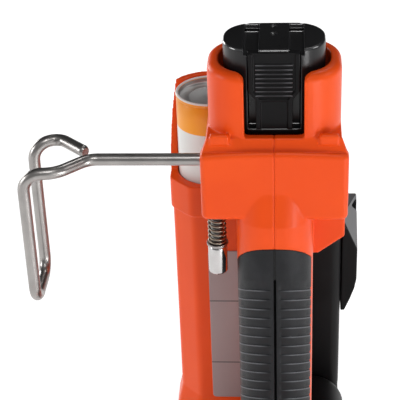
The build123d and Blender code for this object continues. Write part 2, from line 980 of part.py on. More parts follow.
def piston():
    start = cylinder_end - bumper_height - piston_stroke - piston_height - 2
    disc = rod_y(cylinder_bore / 2 - running_gap, start, start + piston_height)
    groove = rod_y(cylinder_bore / 2 + 1, start + 4, start + 6.5)
    return disc - (groove - rod_y(cylinder_bore / 2 - 1.6, start + 3, start + 7))


def driver_blade():
    start = cylinder_end - bumper_height - piston_stroke - 2
    return rod_y(driver_diameter / 2, start, head_front + flange_thickness)


def valve_sleeve():
    outer = sleeve_bore / 2 + sleeve_wall
    ring = rod_y(outer, sleeve_start, sleeve_start + sleeve_length)
    return ring - rod_y(sleeve_bore / 2, sleeve_start - 1, sleeve_start + sleeve_length + 1)


def lift_rods():
    start = sleeve_start + sleeve_length
    radius = rod_diameter / 2
    return [rod_y(radius, start, yoke_start, side * rod_offset, rod_z_level) for side in (-1, 1)]


def work_contact():
    tip_end = head_front + nose_length + tip_reach
    half = rod_offset + rod_diameter
    high = nose_bottom - slip_gap
    low = high - probe_plate
    yoke_end = yoke_start + probe_plate
    yoke = box_between((-half, yoke_start, low), (half, yoke_end, high))
    ear_top = rod_z_level + ear_rise
    for side in (-1, 1):
        inner = side * rod_offset - rod_diameter
        yoke += box_between((inner, yoke_start, low), (inner + 2 * rod_diameter, yoke_end, ear_top))
    tongue_half = tongue_width / 2
    tongue = box_between((-tongue_half, yoke_start, low), (tongue_half, tip_end, high))
    tip_top = head_axis + tongue_half
    tip = box_between((-tongue_half, tip_end - tip_plate, low), (tongue_half, tip_end, tip_top))
    tip = fillet(tip.edges().filter_by(Axis.Y).group_by(Axis.Z)[-1], 8.0)
    tip -= rod_y(driver_diameter / 2 + 1.5, tip_end - tip_plate - 1, tip_end + 1)
    return yoke + tongue + tip


def nose_block():
    half = nose_width / 2
    solid = box_between((-half, head_front, nose_bottom), (half, head_front + nose_length, nose_top))
    solid = chamfer(solid.edges().filter_by(Axis.X).group_by(Axis.Y)[-1], 8.0)
    flange_half = flange_width / 2
    flange_end = head_front + flange_thickness
    solid += box_between((-flange_half, head_front, nose_bottom + 6), (flange_half, flange_end, nose_top))
    solid -= rod_y(driver_diameter / 2 + running_gap, head_front - 1, head_front + nose_length + 1)
    slot_start = magazine_front + rail_thickness
    slot_end = magazine_back - rail_thickness
    nail_half = channel_width / 2
    return solid - box_between((-nail_half, slot_start, head_axis), (nail_half, slot_end, nose_top + 1))


def magazine_plate():
    return box_between(
        (magazine_left, magazine_front, magazine_bottom), (-channel_width / 2, magazine_back, magazine_top)
    )


def magazine_body():
    solid = box_between(
        (channel_width / 2, magazine_front, magazine_bottom), (magazine_right, magazine_back, magazine_top)
    )
    solid = fillet(solid.edges().filter_by(Axis.Z).group_by(Axis.X)[-1], 5.0)
    y = magazine_front + follower_slot_y
    slot = box_between(
        (0, y - follower_slot / 2, magazine_bottom + 2),
        (magazine_right + 1, y + follower_slot / 2, magazine_top - 8),
    )
    solid -= slot
    for i in range(rib_line_count):
        y = magazine_back - screw_head - (i + 1) * rib_line_pitch + rib_line_width
        solid -= box_between(
            (magazine_right - rib_line_depth, y - rib_line_width / 2, magazine_bottom + rib_line_end),
            (magazine_right + 1, y + rib_line_width / 2, magazine_top - rib_line_end),
        )
    for y, z in magazine_screw_places():
        solid -= rod_x(screw_head / 2, magazine_right - 1 - screw_head_height, magazine_right + 1, y, z)
        solid -= rod_x(screw_shank / 2, 0, magazine_right, y, z)
    return solid


def magazine_rail(start):
    half = channel_width / 2
    return box_between((-half, start, magazine_bottom), (half, start + rail_thickness, magazine_top))


def follower():
    y = magazine_front + follower_slot_y
    stem_low = magazine_bottom + 4 + follower_travel
    stem_high = stem_low + follower_stem_height
    half = follower_slot / 2 - slip_gap
    shoe = box_between(
        (-channel_width / 2 + slip_gap, magazine_front + rail_thickness + slip_gap, stem_low),
        (channel_width / 2 - slip_gap, magazine_back - rail_thickness - slip_gap, stem_high),
    )
    stem = box_between((0, y - half, stem_low), (magazine_right + 2, y + half, stem_high))
    return shoe + stem + follower_lever(y)


def follower_lever(y):
    # A thumb lever with a sloping facet at its top and a curved lower end.
    top = magazine_top - lever_drop
    low = top - lever_length
    inner = magazine_right + slip_gap
    outer = inner + lever_thickness
    outline = Polygon(
        (inner, top),
        (outer, top),
        (outer, low + lever_curve),
        (outer - 0.13 * lever_thickness, low + 0.7 * lever_curve),
        (outer - 0.4 * lever_thickness, low + 0.36 * lever_curve),
        (inner + 0.25 * lever_thickness, low),
        (inner, low),
        align=None,
    )
    front = y - lever_depth / 2
    back = y + lever_depth / 2
    lever = prism_y(outline, front, back)
    facet = Plane(origin=(inner, front, top - 1), z_dir=lever_facet)
    reach = 2 * lever_length
    lever -= facet.location * Pos(0, 0, reach / 2) * Box(2 * reach, 2 * reach, reach)
    hole_top = top - lever_hole / 3
    hole_end = back - lever_hole / 2
    hole = Polygon(
        (hole_end - lever_hole, hole_top),
        (hole_end, hole_top),
        (hole_end, hole_top - 1.5 * lever_hole),
        align=None,
    )
    return lever - prism_x(hole, inner - 1, outer + 1)


def trigger():
    y = trigger_pivot_y
    z = trigger_pivot_z
    low = z - trigger_length
    front = handle_back + trigger_reach
    outline = Polygon(
        (y - trigger_ear, z + trigger_ear),
        (y + trigger_ear, z + trigger_ear),
        (front - trigger_curl / 2, z - trigger_brow),
        (front - trigger_curl, z - trigger_hollow),
        (front, low),
        (handle_back + trigger_foot, low),
        (y - trigger_ear, z - trigger_heel),
        align=None,
    )
    solid = prism_x(outline, -trigger_width / 2, trigger_width / 2)
    solid = fillet(solid.edges().filter_by(Axis.X).group_by(Axis.Y)[-1], trigger_foot)
    return solid - rod_x(trigger_pin / 2 + running_gap, -trigger_width, trigger_width, y, z)


def trigger_pin_solid():
    half = trigger_width / 2 + 4
    return rod_x(trigger_pin / 2, -half, half, trigger_pivot_y, trigger_pivot_z)


housing_left, housing_right = halves(housing())
grip_left, grip_right = halves(grip())

nodes = {
    "housing_left": housing_left,
    "housing_right": housing_right,
    "grip_left": grip_left,
    "grip_right": grip_right,
    "battery_pack": battery_pack(),
    "battery_latch": battery_latch(),
    "battery_contacts": battery_contacts(),
    "fuel_tube": fuel_tube(),
    "label_plate": label_plate(),
    "fuel_can": fuel_can(),
    "can_valve": can_valve(),
    "valve_seat": valve_seat(),
    "hook_wire": hook(),
    "hook_washer": hook_washer(),
    "hook_nut": hook_nut(),
    "hook_spring": hook_spring(),
    "head_housing": head_housing(),
    "rear_cap": rear_cap(),
    "spark_plug": spark_plug(),
    "fan_motor": fan_motor(),
    "fan": fan(),
    "cylinder": cylinder(),
    "bumper": bumper(),
    "piston": piston(),
    "driver_blade": driver_blade(),
    "valve_sleeve": valve_sleeve(),
    "lift_rods": lift_rods(),
    "work_contact": work_contact(),
    "nose_block": nose_block(),
    "magazine_plate": magazine_plate(),
    "magazine_body": magazine_body(),
    "rail_front": magazine_rail(magazine_front),
    "rail_back": magazine_rail(magazine_back - rail_thickness),
    "follower": follower(),
    "trigger": trigger(),
    "trigger_pin": trigger_pin_solid(),
    "trigger_switch": trigger_switch(),
    "control_board": control_board(),
    "side_screws": side_screws(),
    "cap_screws": cap_screws(),
    "magazine_screws": magazine_screws(),
}

for name, shape in nodes.items():
    solid = Compound(children=shape) if isinstance(shape, list) else shape
    export_step(solid, f"parts/{name}.step")
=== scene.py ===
import json
import math

import bmesh
import bpy
from mathutils import Matrix, Vector


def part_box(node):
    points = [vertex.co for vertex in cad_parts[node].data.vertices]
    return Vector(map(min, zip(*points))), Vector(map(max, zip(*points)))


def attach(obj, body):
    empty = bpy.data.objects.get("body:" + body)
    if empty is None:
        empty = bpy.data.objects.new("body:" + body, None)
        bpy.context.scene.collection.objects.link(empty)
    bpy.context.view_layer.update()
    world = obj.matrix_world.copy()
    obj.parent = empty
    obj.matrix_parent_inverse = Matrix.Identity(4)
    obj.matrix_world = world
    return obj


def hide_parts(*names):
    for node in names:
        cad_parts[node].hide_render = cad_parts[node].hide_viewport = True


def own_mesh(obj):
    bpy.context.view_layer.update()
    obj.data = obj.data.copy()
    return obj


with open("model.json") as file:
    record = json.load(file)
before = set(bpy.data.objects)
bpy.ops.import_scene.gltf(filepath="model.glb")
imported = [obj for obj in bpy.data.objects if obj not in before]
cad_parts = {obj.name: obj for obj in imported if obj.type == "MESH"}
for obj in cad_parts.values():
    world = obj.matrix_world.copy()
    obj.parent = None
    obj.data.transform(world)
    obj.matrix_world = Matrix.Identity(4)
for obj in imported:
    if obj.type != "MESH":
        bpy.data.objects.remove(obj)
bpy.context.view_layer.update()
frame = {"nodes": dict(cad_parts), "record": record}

mm = 0.001
nodes = frame["nodes"]
record = frame["record"]
bodyOf = {node: body for body, held in record["behaviour"]["bodies"].items() for node in held}
slotOf = {row["node"]: row["material_slot"] for row in record["subparts"]}
print("frame loaded:", len(nodes), "nodes")


def corners(node):
    # lowest and highest corner of a solid, in millimetres
    low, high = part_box(node)
    return low / mm, high / mm


# Node trees

class Wire:
    # A socket that takes part in Python sums.
    def __init__(self, tree, socket):
        self.tree = tree
        self.socket = socket

    def out(self, name):
        return Wire(self.tree, self.socket.node.outputs[name])

    def __add__(self, other):
        return self.tree.maths("ADD", self, other)

    def __radd__(self, other):
        return self.tree.maths("ADD", other, self)

    def __sub__(self, other):
        return self.tree.maths("SUBTRACT", self, other)

    def __rsub__(self, other):
        return self.tree.maths("SUBTRACT", other, self)

    def __mul__(self, other):
        return self.tree.maths("MULTIPLY", self, other)

    def __rmul__(self, other):
        return self.tree.maths("MULTIPLY", other, self)

    def __truediv__(self, other):
        return self.tree.maths("DIVIDE", self, other)

    def __rtruediv__(self, other):
        return self.tree.maths("DIVIDE", other, self)

    def __pow__(self, other):
        return self.tree.maths("POWER", self, other)

    def __gt__(self, other):
        return self.tree.maths("GREATER_THAN", self, other)

    def __lt__(self, other):
        return self.tree.maths("LESS_THAN", self, other)


class Tree:
    # Adds nodes to a shader or geometry tree.
    def __init__(self, nodeTree):
        self.nodeTree = nodeTree

    def add(self, kind, settings=None, sockets=None, out=0):
        node = self.nodeTree.nodes.new(kind)
        for name, value in (settings or {}).items():
            setattr(node, name, value)
        for name, value in (sockets or {}).items():
            self.plug(node.inputs[name], value)
        return Wire(self, node.outputs[out])

    def plug(self, socket, value):
        if isinstance(value, Wire):
            self.nodeTree.links.new(value.socket, socket)
        else:
            socket.default_value = value

    def maths(self, operation, *terms):
        return self.add("ShaderNodeMath", {"operation": operation}, dict(enumerate(terms)))

    def dot(self, first, second):
        settings = {"operation": "DOT_PRODUCT"}
        return self.add("ShaderNodeVectorMath", settings, {0: first, 1: second}, out="Value")

    def split(self, vector):
        parts = self.add("ShaderNodeSeparateXYZ", None, {"Vector": vector})
        return [parts.out(axis) for axis in "XYZ"]

    def ramp(self, factor, low, high):
        # 0 below low, 1 above high, smooth between
        settings = {"interpolation_type": "SMOOTHSTEP"}
        sockets = {"Value": factor, "From Min": low, "From Max": high}
        return self.add("ShaderNodeMapRange", settings, sockets)

    def mixColour(self, factor, first, second):
        # the node's colours are its inputs 6 and 7 and its output 2
        pair = [c if isinstance(c, Wire) else (*c, 1.0) for c in (first, second)]
        sockets = {0: factor, 6: pair[0], 7: pair[1]}
        return self.add("ShaderNodeMix", {"data_type": "RGBA"}, sockets, out=2)


class Skin(Tree):
    # One material with a single surface shader.
    def __init__(self, name, **fixed):
        self.material = bpy.data.materials.new(name)
        self.material.use_nodes = True
        super().__init__(self.material.node_tree)
        self.shader = self.nodeTree.nodes["Principled BSDF"]
        self.place = self.add("ShaderNodeTexCoord", out="Object")
        self.paint(**fixed)

    def paint(self, **inputs):
        for name, value in inputs.items():
            self.plug(self.shader.inputs[name.replace("_", " ")], value)

    def noise(self, size, detail=2.0, rough=0.5, stretch=None):
        # grain of about the given size in millimetres
        vector = self.place
        if stretch:
            vector = self.add("ShaderNodeMapping", None, {"Vector": vector, "Scale": stretch})
        sockets = {"Vector": vector, "Scale": 1 / (size * mm), "Detail": detail, "Roughness": rough}
        return self.add("ShaderNodeTexNoise", None, sockets)

    def span(self, distance, low, high):
        # a ramp between two lengths in millimetres
        return self.ramp(distance, low * mm, high * mm)

    def normal(self):
        return self.add("ShaderNodeNewGeometry", out="Normal")

    def edges(self, radius, low=0.03, high=0.35):
        # 1 along sharp convex and concave edges, 0 on open faces
        soft = self.add("ShaderNodeBevel", {"samples": 6}, {"Radius": radius * mm})
        return self.ramp(1 - self.dot(soft, self.normal()), low, high)

    def bump(self, height, depth):
        # height from 0 to 1 stands for depth in millimetres
        sockets = {"Height": height, "Distance": depth * mm, "Strength": 1.0}
        self.paint(Normal=self.add("ShaderNodeBump", None, sockets))


class Grower(Tree):
    # A geometry tree with named inputs, closed by Realize Instances and Set Material.
    def __init__(self, name, *numbers, unit=False):
        super().__init__(bpy.data.node_groups.new(name, "GeometryNodeTree"))
        face = self.nodeTree.interface
        face.new_socket("Geometry", in_out="OUTPUT", socket_type="NodeSocketGeometry")
        kinds = {"Geometry": "NodeSocketGeometry"}
        kinds.update({label: "NodeSocketFloat" for label in numbers})
        kinds["Material"] = "NodeSocketMaterial"
        if unit:
            kinds["Unit"] = "NodeSocketObject"
        self.sockets = {}
        for label, kind in kinds.items():
            socket = face.new_socket(label, in_out="INPUT", socket_type=kind)
            self.sockets[label] = socket.identifier
        self.entry = self.nodeTree.nodes.new("NodeGroupInput")

    def given(self, label):
        return Wire(self, self.entry.outputs[label])

    def close(self, geometry):
        whole = self.add("GeometryNodeRealizeInstances", None, {"Geometry": geometry})
        sockets = {"Geometry": whole, "Material": self.given("Material")}
        leave = self.nodeTree.nodes.new("NodeGroupOutput")
        self.plug(leave.inputs["Geometry"], self.add("GeometryNodeSetMaterial", None, sockets))
        return self

    def growOn(self, piece, **values):
        modifier = piece.modifiers.new("grown", "NODES")
        modifier.node_group = self.nodeTree
        for label, value in values.items():
            modifier[self.sockets[label]] = value


# Finishes

orangeLook = {
    "deep": (0.735, 0.065, 0.004),
    "colour": (0.77, 0.074, 0.005),
    "paleEdge": (0.87, 0.15, 0.038),
    "cloud": 38,
    "grain": 0.55,
    "edge": 0.9,
}


def mouldedOrange():
    skin = Skin("mouldedOrange", Specular_IOR_Level=0.2)
    look = orangeLook
    cloud = skin.noise(look["cloud"], 3.0)
    grain = skin.noise(look["grain"], 2.0, 0.6)
    edge = skin.edges(look["edge"], 0.02, 0.3)
    colour = skin.mixColour(skin.ramp(cloud, 0.35, 0.7), look["deep"], look["colour"])
    # paler and a little glossier along sharp edges
    skin.paint(Base_Color=skin.mixColour(edge * 0.35, colour, look["paleEdge"]))
    skin.paint(Roughness=0.3 + cloud * 0.1 - edge * 0.06 + grain * 0.05)
    skin.bump(grain, 0.02)
    return skin.material


ribLook = {
    "Half Width": 18.7,
    "Half Depth": 18.0,
    "Corner": 15.5,
    "Middle": 4.0,
    "First": 217.0,
    "Last": 133.0,
    "Pitch": 5.6,
    "Step": 0.62,
    "Groove": 1.1,
}
ribLean = math.tan(math.radians(30))


def ribPhase(tree, y, z, look):
    # place down its rib, from 0 at the ledge to 1 at the next, and 1 where there are ribs
    level = z + (y - look("Middle") + look("Half Depth")) * ribLean
    phase = tree.maths("FRACT", (look("First") - level) / look("Pitch"))
    return phase, (level < look("First") + look("Pitch")) * (level > look("Last"))


# the edge and ledge shades are painted highlights
rubberLook = {
    "plain": (0.0095, 0.01, 0.0115),
    "dusty": (0.0165, 0.0172, 0.0195),
    "edge": (0.1, 0.102, 0.11),
    "seam": (0.0015, 0.0015, 0.0016),
    "ledge": (0.15, 0.153, 0.165),
    "seamFade": (0.5, 0.8),
    "ledgeFade": (2.0, 9.0),
}


def softRubber():
    # dusty rubber, dark along the seam, with a painted highlight: pale along the ledge of each rib and
    # along sharp edges
    skin = Skin("softRubber", Specular_IOR_Level=0.18)
    look = rubberLook
    ledges = {**ribLook, "First": ribLook["First"] - ribLook["Pitch"]}  # none at the top rib's head
    x, y, z = skin.split(skin.place)
    phase, ribbed = ribPhase(skin, y, z, lambda label: ledges[label] * mm)
    wide = skin.maths("ABSOLUTE", x)
    seam = 1 - skin.span(wide, *look["seamFade"])
    beside = skin.span(wide, *look["ledgeFade"])
    # painted highlight: the ledge at the head of each rib is paled where light would catch it
    wearAndHighlight = (1 - skin.ramp(phase, 0.05, 0.16)) * ribbed * beside
    dust = skin.noise(14, 4.0, 0.6)
    grain = skin.noise(0.4, 3.0, 0.7)
    colour = skin.mixColour(skin.ramp(dust, 0.4, 0.75), look["plain"], look["dusty"])
    # painted highlight: sharp edges paled
    colour = skin.mixColour(skin.edges(0.5) * 0.4, colour, look["edge"])
    colour = skin.mixColour(seam * 0.85, colour, look["seam"])
    skin.paint(Base_Color=skin.mixColour(wearAndHighlight * 0.85, colour, look["ledge"]))
    skin.paint(Roughness=0.33 + dust * 0.12 + grain * 0.08)
    skin.bump(grain, 0.05)
    return skin.material


blackLook = {
    "satin": ((0.0035, 0.0033, 0.0036), (0.006, 0.0057, 0.0062)),
    "thumb": ((0.0035, 0.0034, 0.0038), (0.006, 0.0058, 0.0064)),
    "gloss": ((0.0035, 0.0035, 0.004), (0.006, 0.006, 0.0068)),
    # edge is the pale shade of a painted edge highlight
    "edge": (0.06, 0.06, 0.064),
    "rim": (0.05, 0.05, 0.055),
}


def satinBlack():
    skin = Skin("satinBlack", Specular_IOR_Level=0.15)
    cloud = skin.noise(26, 3.0)
    grain = skin.noise(0.5, 2.0, 0.6)
    colour = skin.mixColour(skin.ramp(cloud, 0.35, 0.7), *blackLook["satin"])
    # painted highlight: sharp edges paled
    skin.paint(Base_Color=skin.mixColour(skin.edges(0.5) * 0.6, colour, blackLook["edge"]))
    skin.paint(Roughness=0.3 + cloud * 0.12 + grain * 0.08)
    skin.bump(grain, 0.015)
    return skin.material


# the pale shade is a painted highlight on the thumb ribs
thumbLook = {
    "first": 329.9,
    "pitch": 2.2,
    "count": 8.0,
    "middle": 3.0,
    "reach": 8.6,
    "wearAndHighlight": (0.11, 0.11, 0.118),
}


def thumbBlack():
    # satin black with a painted highlight: the upper edge of each thumb rib pale, most at its ends,
    # and sharp edges paled
    skin = Skin("thumbBlack", Specular_IOR_Level=0.12)
    look = thumbLook
    cloud = skin.noise(20, 3.0)
    grain = skin.noise(0.5, 2.0, 0.6)
    x, y, z = skin.split(skin.place)
    level = (look["first"] * mm - z) / (look["pitch"] * mm)
    wide = skin.maths("ABSOLUTE", x)
    # painted highlight along the crest of each rib
    crest = 1 - skin.ramp(skin.maths("FRACT", level), 0.12, 0.3)
    crest = crest * (level > 0.0) * (level < look["count"]) * (wide < look["reach"] * mm)
    ends = 0.3 + skin.span(wide, look["middle"], look["reach"]) * 0.7
    colour = skin.mixColour(cloud, *blackLook["thumb"])
    # painted highlight: sharp edges paled
    colour = skin.mixColour(skin.edges(0.5) * 0.6, colour, blackLook["edge"])
    skin.paint(Base_Color=skin.mixColour(crest * ends, colour, look["wearAndHighlight"]))
    skin.paint(Roughness=0.28 + cloud * 0.1 + grain * 0.06)
    skin.bump(grain, 0.01)
    return skin.material


def glossBlack():
    # polished black for the pack, with a clear coat and a painted highlight along its rounded rim
    skin = Skin("glossBlack", Specular_IOR_Level=0.35, Coat_Roughness=0.1, Coat_IOR=2.0)
    cloud = skin.noise(30, 3.0)
    grain = skin.noise(0.7, 2.0, 0.6)
    upward = skin.split(skin.normal())[2]
    rim = skin.ramp(upward, 0.25, 0.45) * (1 - skin.ramp(upward, 0.88, 0.97))
    colour = skin.mixColour(skin.ramp(cloud, 0.35, 0.7), *blackLook["gloss"])
    # painted highlight: the base colour is paled along the rounded rim as well as coated
    skin.paint(Base_Color=skin.mixColour(rim * 0.3, colour, blackLook["rim"]))
    skin.paint(Roughness=0.22 + cloud * 0.08 + grain * 0.05, Coat_Weight=rim)
    skin.bump(grain, 0.008)
    return skin.material


leverLook = {
    "facet": (0.877, -0.306, 0.369),
    "grey": (0.165, 0.165, 0.17),
    "edge": (0.05, 0.05, 0.054),
}


def leverBlack():
    # satin black whose sloping facet and upward faces are painted pale grey, a painted highlight where
    # light falls on them, with sharp edges paled a little as well
    skin = Skin("leverBlack", Specular_IOR_Level=0.12)
    look = leverLook
    cloud = skin.noise(26, 3.0)
    streak = skin.noise(0.4, 3.0, 0.6, (1.0, 1.0, 0.12))
    facing = skin.normal()
    # painted highlight: faces turned towards the facet's direction or upward
    near = skin.ramp(skin.dot(facing, look["facet"]), 0.93, 0.985)
    upward = skin.ramp(skin.split(facing)[2], 0.8, 0.95)
    wearAndHighlight = skin.maths("MAXIMUM", near, upward)
    colour = skin.mixColour(cloud, *blackLook["satin"])
    colour = skin.mixColour(skin.edges(0.5) * 0.3, colour, look["edge"])
    skin.paint(Base_Color=skin.mixColour(wearAndHighlight * (0.85 + streak * 0.15), colour, look["grey"]))
    skin.paint(Roughness=0.3 + cloud * 0.1 + streak * 0.1)
    skin.bump(streak, 0.01)
    return skin.material


labelLook = {
    "colours": ((0.305, 0.238, 0.236), (0.342, 0.27, 0.268)),
    "rule": (0.06, 0.06, 0.065),
    "ruleFade": (0.2, 0.45),
    "lines": (174.0, 132.7),
    "corner": 2.0,
    "cornerSteps": 8,
    "edge": 0.2,
}


def greyFilm():
    # plain film with two thin ruled lines
    skin = Skin("greyFilm")
    cloud = skin.noise(20, 3.0)
    height = skin.split(skin.place)[2]
    colour = skin.mixColour(cloud, *labelLook["colours"])
    for line in labelLook["lines"]:
        away = skin.maths("ABSOLUTE", height - line * mm)
        rule = 1 - skin.span(away, *labelLook["ruleFade"])
        colour = skin.mixColour(rule, colour, labelLook["rule"])
    skin.paint(Base_Color=colour, Roughness=0.32 + cloud * 0.12)
    skin.bump(skin.noise(0.8), 0.006)
    return skin.material


canLook = {
    "band": (272.6, 289.6),
    "fade": 0.1,
    "bronze": (0.82, 0.3, 0.012),
    "gold": (0.76, 0.26, 0.014),
    "white": (0.66, 0.65, 0.63),
    "bare": (0.46, 0.46, 0.455),
    "rim": 16.2,
    "floor": 5.0,
}


def canLacquer():
    # white lacquer with one plain gold band, and bare metal inside the rim
    skin = Skin("canLacquer", Specular_IOR_Level=0.3)
    look = canLook
    low, high = corners("fuel_can")
    x, y, height = skin.split(skin.place)
    aside = x - (low.x + high.x) / 2 * mm
    along = y - (low.y + high.y) / 2 * mm
    away = (aside * aside + along * along) ** 0.5
    inside = (away < look["rim"] * mm) * (height > (high.z - look["floor"]) * mm)
    first, last = look["band"]
    above = skin.span(height, first - look["fade"], first)
    below = 1 - skin.span(height, last, last + look["fade"])
    cloud = skin.noise(9, 3.0)
    gold = skin.mixColour(skin.span(height, first, last), look["bronze"], look["gold"])
    colour = skin.mixColour(above * below, look["white"], gold)
    skin.paint(Base_Color=skin.mixColour(inside, colour, look["bare"]))
    skin.paint(Metallic=inside, Roughness=0.26 + cloud * 0.14 + inside * 0.12)
    skin.bump(skin.noise(0.9), 0.006)
    return skin.material


metalLook = {
    "drawn": ((0.26, 0.247, 0.238), (0.4, 0.383, 0.37)),
    "turned": ((0.52, 0.53, 0.54), (0.66, 0.67, 0.68)),
    "blackened": ((0.07, 0.07, 0.075), (0.12, 0.12, 0.125)),
    "wearAndHighlight": (0.38, 0.37, 0.36),
}


def drawnSteel():
    skin = Skin("drawnSteel", Metallic=1.0)
    streak = skin.noise(0.25, 3.0, 0.6, (0.06, 1.0, 1.0))
    smear = skin.noise(9, 3.0)
    skin.paint(Base_Color=skin.mixColour(smear, *metalLook["drawn"]))
    skin.paint(Roughness=0.2 + streak * 0.14 + smear * 0.08)
    skin.bump(streak, 0.012)
    return skin.material


def turnedAluminium():
    skin = Skin("turnedAluminium", Metallic=1.0)
    ring = skin.noise(0.4, 2.0, 0.5, (1.0, 8.0, 1.0))
    skin.paint(Base_Color=skin.mixColour(ring, *metalLook["turned"]))
    skin.paint(Roughness=0.28 + ring * 0.14)
    skin.bump(ring, 0.01)
    return skin.material


def blackenedSteel():
    skin = Skin("blackenedSteel", Metallic=0.9)
    smear = skin.noise(7, 4.0)
    edge = skin.edges(0.6)
    colour = skin.mixColour(smear, *metalLook["blackened"])
    skin.paint(Base_Color=skin.mixColour(edge * 0.7, colour, metalLook["wearAndHighlight"]))
    skin.paint(Roughness=0.34 + smear * 0.16 - edge * 0.08)
    skin.bump(skin.noise(0.5), 0.015)
    return skin.material


smearLook = {
    "whiteNylon": {
        "colours": ((0.72, 0.71, 0.68), (0.8, 0.8, 0.78)),
        "metal": 0.0, "smear": 12, "rough": 0.4, "spread": 0.15, "pit": 0.4, "depth": 0.01,
    },
    "springSteel": {
        "colours": ((0.19, 0.155, 0.12), (0.32, 0.275, 0.22)),
        "metal": 1.0, "smear": 3, "rough": 0.22, "spread": 0.16, "pit": 0.3, "depth": 0.01,
    },
    "polishedChrome": {
        "colours": ((0.44, 0.42, 0.415), (0.56, 0.55, 0.545)),
        "metal": 1.0, "smear": 5, "rough": 0.1, "spread": 0.1, "pit": 1.6, "depth": 0.006,
    },
    "bareBrass": {
        "colours": ((0.6, 0.42, 0.16), (0.75, 0.56, 0.26)),
        "metal": 1.0, "smear": 3, "rough": 0.24, "spread": 0.15, "pit": 0.5, "depth": 0.01,
    },
}


def smeared(name):
    # a finish that varies in soft smears, with fine pits
    look = smearLook[name]
    skin = Skin(name, Metallic=look["metal"])
    smear = skin.noise(look["smear"], 3.0)
    skin.paint(Base_Color=skin.mixColour(smear, *look["colours"]))
    skin.paint(Roughness=look["rough"] + smear * look["spread"])
    skin.bump(skin.noise(look["pit"]), look["depth"])
    return skin.material


boardLook = {"scale": 420.0, "ground": (0.01, 0.09, 0.035), "trace": (0.02, 0.16, 0.06)}


def boardGreen():
    skin = Skin("boardGreen")
    sockets = {"Vector": skin.place, "Scale": boardLook["scale"]}
    cells = skin.add("ShaderNodeTexVoronoi", {"distance": "MANHATTAN"}, sockets)
    trace = skin.ramp(cells, 0.28, 0.34)
    skin.paint(Base_Color=skin.mixColour(trace, boardLook["ground"], boardLook["trace"]))
    skin.paint(Roughness=0.25 + trace * 0.12)
    skin.bump(trace, 0.02)
    return skin.material


finishes = {
    "orange_shell": mouldedOrange(),
    "rubber_grip": softRubber(),
    "black_plastic": satinBlack(),
    "white_plastic": smeared("whiteNylon"),
    "label_grey": greyFilm(),
    "can_metal": canLacquer(),
    "bright_steel": drawnSteel(),
    "chrome": smeared("polishedChrome"),
    "cast_aluminium": turnedAluminium(),
    "dark_steel": blackenedSteel(),
    "brass": smeared("bareBrass"),
    "board_green": boardGreen(),
}
ownFinish = {
    "battery_pack": glossBlack(),
    "battery_latch": thumbBlack(),
    "follower": leverBlack(),
    "hook_spring": smeared("springSteel"),
}
print("finishes made:", len(finishes) + len(ownFinish))


# Making pieces

weldDistance = 0.002


def newPiece(name, mesh):
    piece = bpy.data.objects.new(name, mesh)
    bpy.context.scene.collection.objects.link(piece)
    return piece


def finishOf(node):
    return ownFinish.get(node) or finishes[slotOf[node]]


def meshOf(piece):
    # the evaluated piece as a plain smooth mesh
    bpy.context.view_layer.update()
    shown = piece.evaluated_get(bpy.context.evaluated_depsgraph_get())
    mesh = bpy.data.meshes.new_from_object(shown)
    mesh.shade_smooth()
    return mesh


def standFor(piece, node):
    # the piece takes the node's place, body and finish
    piece.data.materials.clear()
    piece.data.materials.append(finishOf(node))
    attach(piece, bodyOf[node])
    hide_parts(node)
    return piece


def welded(node):
    mesh = nodes[node].data.copy()
    shape = bmesh.new()
    shape.from_mesh(mesh)
    bmesh.ops.remove_doubles(shape, verts=shape.verts, dist=weldDistance * mm)
    shape.to_mesh(mesh)
    shape.free()
    return mesh


def ringOf(radius, height, steps, swing=0.0):
    # places round the Z axis, swinging in and out in six lobes, or one place on the axis
    if radius == 0:
        return [Vector((0, 0, height))]
    ring = []
    for i in range(steps):
        angle = 2 * math.pi * i / steps
        reach = radius + swing * math.cos(6 * angle)
        ring.append(Vector((reach * math.cos(angle), reach * math.sin(angle), height)))
    return ring


def lofted(name, rings, capped=False):
    # a mesh across rings of places in millimetres, a single place closing the rings beside it
    shape = bmesh.new()
    loops = [[shape.verts.new(place * mm) for place in ring] for ring in rings]
    for lower, upper in zip(loops, loops[1:]):
        for i in range(max(len(lower), len(upper))):
            low = [lower[k % len(lower)] for k in (i, i + 1)]
            high = [upper[k % len(upper)] for k in (i + 1, i)]
            shape.faces.new(list(dict.fromkeys(low + high)))
    if capped:
        shape.faces.new(list(reversed(loops[0])))
        shape.faces.new(loops[-1])
    bmesh.ops.recalc_face_normals(shape, faces=shape.faces)
    mesh = bpy.data.meshes.new(name)
    shape.to_mesh(mesh)
    shape.free()
    return mesh


# Grip ribs: a row of shingles with a small ledge at the head of each, fading at the seam and the sides

def ribTree():
    tree = Grower("shingleRibs", *ribLook)
    x, y, z = tree.split(tree.add("GeometryNodeInputPosition"))
    corner, groove, halfWidth = (tree.given(label) for label in ("Corner", "Groove", "Half Width"))
    deep = y - tree.given("Middle")
    wide = tree.maths("ABSOLUTE", x)
    aside = tree.maths("MAXIMUM", wide - halfWidth + corner, 0.0)
    along = tree.maths("ABSOLUTE", deep) - tree.given("Half Depth") + corner
    along = tree.maths("MAXIMUM", along, 0.0)
    reach = (aside * aside + along * along) ** 0.5
    under = corner - reach
    phase, ribbed = ribPhase(tree, y, z, tree.given)
    fade = tree.ramp(wide, 1.5 * groove, 3 * groove) * tree.ramp(wide, 0.95 * halfWidth, corner)
    shift = under - tree.given("Step") * phase * fade
    shift = shift * ribbed * (under < groove) * (wide > groove)
    sockets = {
        "X": tree.maths("SIGN", x) * aside / reach * shift,
        "Y": tree.maths("SIGN", deep) * along / reach * shift,
    }
    offset = tree.add("ShaderNodeCombineXYZ", None, sockets)
    sockets = {"Geometry": tree.given("Geometry"), "Offset": offset}
    return tree.close(tree.add("GeometryNodeSetPosition", None, sockets))


